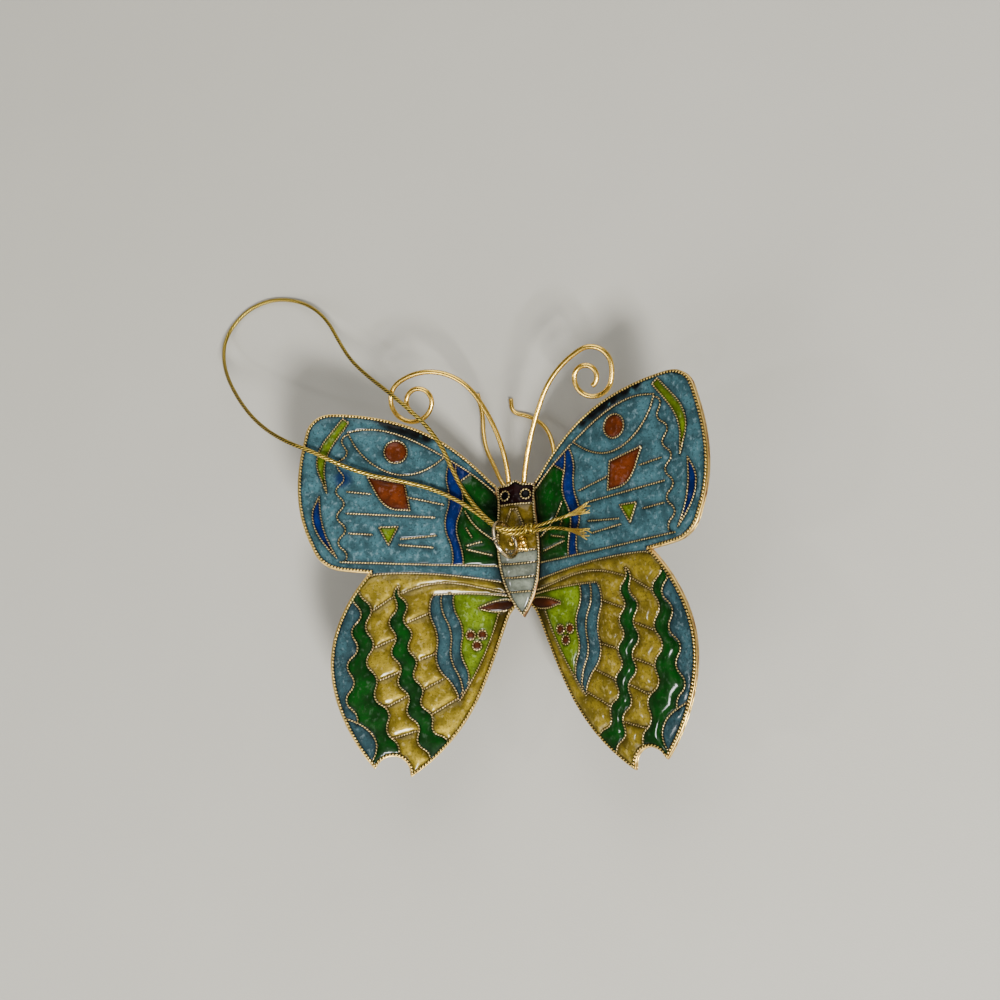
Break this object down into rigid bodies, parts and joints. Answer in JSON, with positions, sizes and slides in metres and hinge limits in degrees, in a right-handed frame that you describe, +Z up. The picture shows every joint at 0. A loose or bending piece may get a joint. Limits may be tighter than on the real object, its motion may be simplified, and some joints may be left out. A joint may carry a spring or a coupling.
{
  "type": "butterfly ornament",
  "caption": "Hanging butterfly ornament with enamel in wire cells on raised copper wings, an enamelled body, curled wire antennae, wire legs and a cord tied to a swinging ring.",
  "frame": {"origin": "on the surface that the feet stand on, below the middle of the fold between the wings", "axes": "+X to the butterfly's right, +Y towards its head, +Z up"},
  "size_m": [0.1109, 0.107, 0.0272],
  "materials": {
    "sky_enamel": "glossy fused enamel, mottled",
    "green_enamel": "glossy fused enamel",
    "cobalt_enamel": "glossy fused enamel",
    "orange_enamel": "glossy fused enamel",
    "lime_enamel": "glossy fused enamel",
    "gold_enamel": "glossy fused enamel over foil, shimmering",
    "red_enamel": "glossy fused enamel",
    "head_enamel": "glossy fused enamel",
    "eye_enamel": "glossy fused enamel",
    "thorax_enamel": "glossy fused enamel over foil",
    "abdomen_enamel": "glossy fused enamel",
    "back_enamel": "glossy fused enamel, plain",
    "copper": "sheet copper",
    "gilt_wire": "gilt twisted wire",
    "gilt_rod": "polished gilt wire",
    "cord": "twisted metallic thread"
  },
  "bodies": {
    "ornament": {"abdomen_enamel": "abdomen_enamel", "belly_shell": "copper", "body_rim_wire": "gilt_wire", "body_shell": "copper", "body_wires": "gilt_wire", "cord_knot": "cord", "eye_enamel": "eye_enamel", "hanger_eye": "gilt_rod", "hanging_cord": "cord", "head_enamel": "head_enamel", "left_antenna": "gilt_rod", "left_back_enamel": "back_enamel", "left_back_rim_wire": "gilt_wire", "left_forewing_cobalt_enamel": "cobalt_enamel", "left_forewing_green_enamel": "green_enamel", "left_forewing_lime_enamel": "lime_enamel", "left_forewing_orange_enamel": "orange_enamel", "left_forewing_sky_enamel": "sky_enamel", "left_forewing_wires": "gilt_wire", "left_front_leg": "gilt_rod", "left_front_rim_wire": "gilt_wire", "left_hind_leg": "gilt_rod", "left_hindwing_gold_enamel": "gold_enamel", "left_hindwing_green_enamel": "green_enamel", "left_hindwing_lime_enamel": "lime_enamel", "left_hindwing_red_enamel": "red_enamel", "left_hindwing_sky_enamel": "sky_enamel", "left_hindwing_wires": "gilt_wire", "left_middle_leg": "gilt_rod", "left_wing_plate": "copper", "lower_cord_tail": "cord", "right_antenna": "gilt_rod", "right_back_enamel": "back_enamel", "right_back_rim_wire": "gilt_wire", "right_forewing_cobalt_enamel": "cobalt_enamel", "right_forewing_green_enamel": "green_enamel", "right_forewing_lime_enamel": "lime_enamel", "right_forewing_orange_enamel": "orange_enamel", "right_forewing_sky_enamel": "sky_enamel", "right_forewing_wires": "gilt_wire", "right_front_leg": "gilt_rod", "right_front_rim_wire": "gilt_wire", "right_hind_leg": "gilt_rod", "right_hindwing_gold_enamel": "gold_enamel", "right_hindwing_green_enamel": "green_enamel", "right_hindwing_lime_enamel": "lime_enamel", "right_hindwing_red_enamel": "red_enamel", "right_hindwing_sky_enamel": "sky_enamel", "right_hindwing_wires": "gilt_wire", "right_middle_leg": "gilt_rod", "right_wing_plate": "copper", "thorax_enamel": "thorax_enamel", "upper_cord_tail": "cord"},
    "ring": {"hanger_ring": "gilt_rod"}
  },
  "joints": [
    {"name": "ring_swing", "type": "hinge", "parent": "ornament", "child": "ring", "pos_m": [0, -0.0002, 0.01259], "axis": [-0.2756, 0.9613, 0], "range_deg": [0, 77]}
  ]
}
